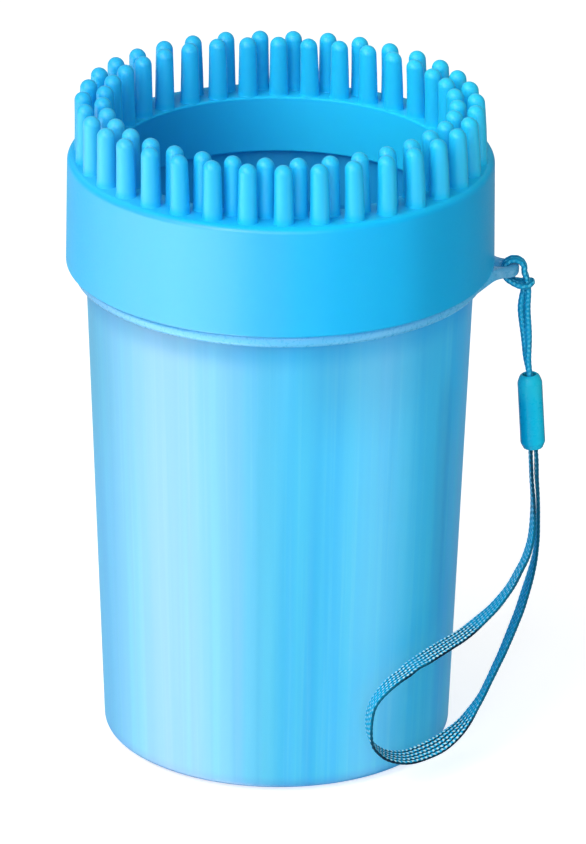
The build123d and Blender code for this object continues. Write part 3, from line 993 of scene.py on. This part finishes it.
# Stations along the strap: x, y, z, then the direction across it
STRAP_STATIONS = [
    (56.3, 0, 79, -0.07, 0.997, -0.005), (56.45, 0, 74, -0.07, 0.997, -0.005),
    (56.72, 0, 69.8, -0.06, 0.995, -0.03), (56.86, -0.05, 67.4, -0.06, 0.993, -0.06),
    (56.95, -0.12, 65.4, -0.057, 0.991, -0.1), (57.04, -0.3, 63.85, -0.057, 0.991, -0.123),
    (57.25, -0.72, 60.34, -0.052, 0.985, -0.165), (57.56, -1.43, 56.96, -0.064, 0.96, -0.273),
    (57.66, -2.44, 54.2, -0.093, 0.923, -0.373), (57.6, -3.75, 51.19, -0.139, 0.894, -0.425),
    (57.34, -5.25, 48.39, -0.197, 0.868, -0.455), (56.65, -6.77, 45.84, -0.25, 0.843, -0.476),
    (55.73, -8.31, 43.8, -0.317, 0.789, -0.527), (54.68, -9.91, 42.33, -0.299, 0.839, -0.455),
    (52.89, -11.71, 39.41, -0.322, 0.853, -0.412), (51.05, -13.63, 37.48, -0.408, 0.816, -0.41),
    (48.86, -15.67, 35.53, -0.484, 0.798, -0.359), (46.69, -17.74, 34.22, -0.557, 0.775, -0.3),
    (44.42, -19.87, 32.95, -0.62, 0.744, -0.249), (42.42, -22.01, 32.11, -0.667, 0.72, -0.192),
    (40.2, -24.18, 31.42, -0.681, 0.722, -0.117), (38.03, -26.33, 30.97, -0.695, 0.714, -0.085),
    (35.93, -28.44, 30.5, -0.7, 0.711, -0.067), (33.95, -30.44, 30.05, -0.697, 0.713, -0.075),
    (32.03, -32.35, 29.56, -0.689, 0.719, -0.09), (30.22, -34.12, 29.14, -0.656, 0.737, -0.161),
    (28.49, -35.79, 28.23, -0.614, 0.764, -0.199), (26.75, -37.32, 27.58, -0.568, 0.796, -0.208),
    (25.03, -38.7, 26.55, -0.488, 0.836, -0.252), (23.53, -39.87, 25.36, -0.395, 0.876, -0.276),
    (22.24, -40.76, 23.99, -0.28, 0.926, -0.253), (21.34, -41.36, 22.36, -0.209, 0.965, -0.16),
    (20.91, -41.62, 20.58, -0.208, 0.978, -0.031), (20.73, -41.61, 18.54, -0.21, 0.975, 0.069),
    (20.8, -41.34, 16.26, -0.2, 0.97, 0.137), (21.17, -40.88, 14.03, -0.223, 0.957, 0.186),
    (22.07, -40.23, 12.1, -0.307, 0.936, 0.174), (23.58, -39.39, 10.29, -0.348, 0.921, 0.176),
    (25.51, -38.33, 8.93, -0.4, 0.9, 0.173), (27.89, -37.04, 7.99, -0.456, 0.869, 0.193),
    (30.26, -35.54, 7.6, -0.537, 0.82, 0.2), (32.53, -33.92, 7.69, -0.584, 0.783, 0.214),
    (34.85, -32.23, 8.02, -0.621, 0.747, 0.235), (36.89, -30.54, 8.48, -0.676, 0.716, 0.175),
    (38.71, -28.87, 9.19, -0.706, 0.706, 0.06), (40.31, -27.26, 9.99, -0.7, 0.708, -0.092),
    (41.71, -25.7, 10.82, -0.645, 0.723, -0.247), (43.04, -24.16, 11.91, -0.558, 0.74, -0.374),
    (44.18, -22.68, 13.1, -0.47, 0.758, -0.452), (45.31, -21.31, 14.33, -0.411, 0.751, -0.516),
    (46.17, -20.07, 15.31, -0.39, 0.709, -0.587), (46.92, -18.89, 16.2, -0.319, 0.76, -0.566),
    (47.8, -17.66, 17.63, -0.278, 0.811, -0.514), (48.76, -16.38, 19.16, -0.282, 0.816, -0.504),
    (49.7, -15.05, 20.8, -0.297, 0.814, -0.499), (50.64, -13.75, 22.32, -0.304, 0.82, -0.484),
    (51.53, -12.49, 23.99, -0.311, 0.821, -0.479), (52.31, -11.28, 25.47, -0.316, 0.829, -0.461),
    (53.14, -10.1, 27.18, -0.314, 0.849, -0.426), (53.96, -8.93, 28.93, -0.323, 0.846, -0.425),
    (54.77, -7.74, 30.64, -0.321, 0.852, -0.414), (55.54, -6.53, 32.65, -0.302, 0.872, -0.385),
    (56.32, -5.32, 34.91, -0.279, 0.888, -0.365), (57.07, -4.19, 37.18, -0.244, 0.9, -0.363),
    (57.7, -3.19, 39.28, -0.182, 0.925, -0.333), (58.27, -2.34, 41.67, -0.113, 0.952, -0.284),
    (58.65, -1.62, 44.15, -0.054, 0.971, -0.234), (58.92, -1.04, 46.93, -0.013, 0.987, -0.162),
    (58.95, -0.59, 50.44, 0.005, 0.994, -0.106), (58.87, -0.28, 54.01, -0.001, 0.998, -0.066),
    (58.65, -0.11, 57.63, -0.029, 0.999, -0.036), (58.36, -0.03, 61.29, -0.058, 0.998, -0.025),
    (58.22, 0, 65.4, -0.06, 0.997, -0.02), (58.05, 0, 67.6, -0.06, 0.998, -0.01),
    (57.88, 0, 69.8, -0.07, 0.997, -0.005), (57.5, 0, 74, -0.07, 0.997, -0.005),
    (57.15, 0, 79, -0.07, 0.997, -0.005),
]


def build_strap(material):
    stations, along = spline(STRAP_STATIONS, 0.2)
    path, across = stations[:, :3], stations[:, 3:]
    tangent = unit(np.gradient(path, axis=0))
    across = unit(across - tangent * np.sum(across * tangent, axis=1, keepdims=True))
    normal = np.cross(tangent, across)
    u = np.linspace(-STRAP_W / 2, STRAP_W / 2, STRAP_POINTS_ACROSS)
    # each rib is a small crown; the strap thins to nothing over its outer 0.35 mm
    crown = np.abs(np.cos(np.pi * u / STRAP_RIB)) ** 0.8
    row = np.round(u / STRAP_RIB)
    edge = np.clip((STRAP_W / 2 - np.abs(u)) / 0.35, 0, 1)
    edge_round = np.sqrt(np.clip(edge * (2 - edge), 0, 1))
    loops, uvs = [], []
    for i in range(len(path)):
        # gathered to 0.58 of its width at the sleeve
        gather = min(1.0, 0.58 + 0.42 * max(0.0, (67.5 - path[i][2]) / 14.0))
        # the yarns step over and under along the tape
        step = np.cos(TAU * (along[i] / STRAP_PICK + 0.5 * (row % 2)))
        h = 0.25 + 0.12 * crown + 0.03 * step * crown
        h = h * edge_round + 0.02
        middle = path[i] + (u * gather)[:, None] * across[i]
        rise = h[:, None] * normal[i]
        loops.append(np.concatenate([middle + rise, (middle - rise)[::-1]]))
        for q in (*u, *u[::-1]):
            uvs.append(((q + STRAP_U_MIDDLE) / WEAVE_MAP_SCALE, along[i] / WEAVE_MAP_SCALE))
    strap = rings("strap_webbing", loops, uv=uvs)
    paint(strap, material)
    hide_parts("wrist_strap", "strap_tack")
    strap.visible_glossy = False
    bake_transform(strap)


# ---------------------------------------------------------------------------
# Floor, world, lights and camera
# ---------------------------------------------------------------------------


def build_floor():
    floor = lathe("floor", [(0, 0), (400, 0), (4000, 0), (9000, 0)], 96, closed=False)
    paint(floor, pale_floor())


def build_world(scene):
    world = bpy.data.worlds.new("studio")
    world.use_nodes = True
    scene.world = world
    w = Nodes(world.node_tree, "ShaderNodeOutputWorld")
    ray = w.node("ShaderNodeLightPath").outputs
    # strength 0.985 as the camera sees it, 0.43 as it lights the scene
    seen = w.filled(w.node("ShaderNodeMapRange"), {0: ray["Is Camera Ray"], 3: 0.43, 4: 0.985})
    # dark flag on the right for what shiny walls mirror
    x, _, _ = w.xyz(w.node("ShaderNodeTexCoord").outputs["Generated"])
    flag = w.span(x, over=(-0.2, 0.75), to=(0.5, 0.12))
    pick = w.node("ShaderNodeMix", data_type="FLOAT")
    w.filled(pick, {0: ray["Is Glossy Ray"], 2: seen.outputs[0], 3: flag})
    background = w.node("ShaderNodeBackground")
    w.filled(background, {"Strength": pick.outputs[0], "Color": (1.0, 1.0, 1.0)})
    w.done(background.outputs[0])


def softbox(scene, name, azimuth, elevation, distance, width, height, power):
    """Area light aimed at the cup; azimuth is measured from the front, towards +X."""
    aim = Vector((0, 0, 0.075))
    a, e = math.radians(azimuth), math.radians(elevation)
    light = bpy.data.lights.new(name, "AREA")
    light.shape = "RECTANGLE"
    light.size, light.size_y = width, height
    light.energy = power
    ob = bpy.data.objects.new(name, light)
    scene.collection.objects.link(ob)
    away = Vector((math.sin(a) * math.cos(e), -math.cos(a) * math.cos(e), math.sin(e)))
    ob.location = position = away * distance + aim
    ob.rotation_euler = (aim - position).to_track_quat("-Z", "Y").to_euler()


def build_camera(scene):
    tilt_down, roll = 0.39507, 0.0092      # radians
    position = (0.003189, -1.29660, 0.61438)
    data = bpy.data.cameras.new("camera")
    camera = bpy.data.objects.new("camera", data)
    scene.collection.objects.link(camera)
    data.sensor_width = 36
    data.lens = 265.99479
    data.clip_start, data.clip_end = 0.05, 60
    forward = Vector((0, math.cos(tilt_down), -math.sin(tilt_down)))
    level = Vector((1, 0, 0))
    upright = level.cross(forward)
    c, s = math.cos(roll), math.sin(roll)
    right, up = level * c + upright * s, upright * c - level * s
    rows = [[right[i], up[i], -forward[i], position[i]] for i in range(3)]
    camera.matrix_world = Matrix(rows + [[0, 0, 0, 1]])
    scene.camera = camera


# ---------------------------------------------------------------------------
# Build
# ---------------------------------------------------------------------------

silicone = head_silicone()
frosted = cup_frosted()
clear = ring_clear()
gloss_plastic = sleeve_gloss()
strap_weave = weave(
    "strap_weave", rib=STRAP_RIB, pick=STRAP_PICK, dark=srgb(2, 20, 42), mid=srgb(8, 170, 216),
    light=srgb(220, 254, 255), rough=0.72, groove_depth=0.95, zones=STRAP_ZONES,
    hem=(STRAP_U_MIDDLE, 2.52),
)
cord_weave = weave(
    "cord_weave", rib=1.05, pick=1.1, dark=srgb(4, 64, 102), mid=srgb(22, 162, 208),
    light=srgb(92, 206, 234), rough=0.7, groove_depth=0.5,
)
insert_plastic = plain(
    "insert_plastic", grain_scale=1500, cloud_scale=90,
    colours=(srgb(22, 120, 205), srgb(40, 140, 220)), rough=(0.42, 0.56),
)
seal_silicone = plain(
    "seal_silicone", grain_scale=1800, cloud_scale=120,
    colours=(srgb(206, 218, 228), srgb(228, 234, 240)), rough=(0.5, 0.62),
    Subsurface_Weight=0.2, Subsurface_Radius=(1, 1, 1), Subsurface_Scale=0.001,
)

build_cup(frosted)
build_head(silicone)
build_ring(clear)
build_cord(cord_weave)
build_sleeve(gloss_plastic)
build_strap(strap_weave)

# inner CAD parts that show when the head is off
paint(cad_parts["thread_ring"], insert_plastic)
paint(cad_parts["rim_seal"], seal_silicone)

scene = bpy.context.scene
build_floor()
scene.view_settings.view_transform = "Standard"
scene.view_settings.look = "None"
scene.cycles.use_denoising = True
build_world(scene)
softbox(scene, "key", azimuth=-30, elevation=32, distance=0.95, width=0.5, height=0.6, power=4.1)
softbox(scene, "front", azimuth=8, elevation=20, distance=0.95, width=0.3, height=0.8, power=1.8)
softbox(scene, "top", azimuth=-62, elevation=50, distance=1.1, width=0.7, height=0.7, power=4.2)
build_camera(scene)
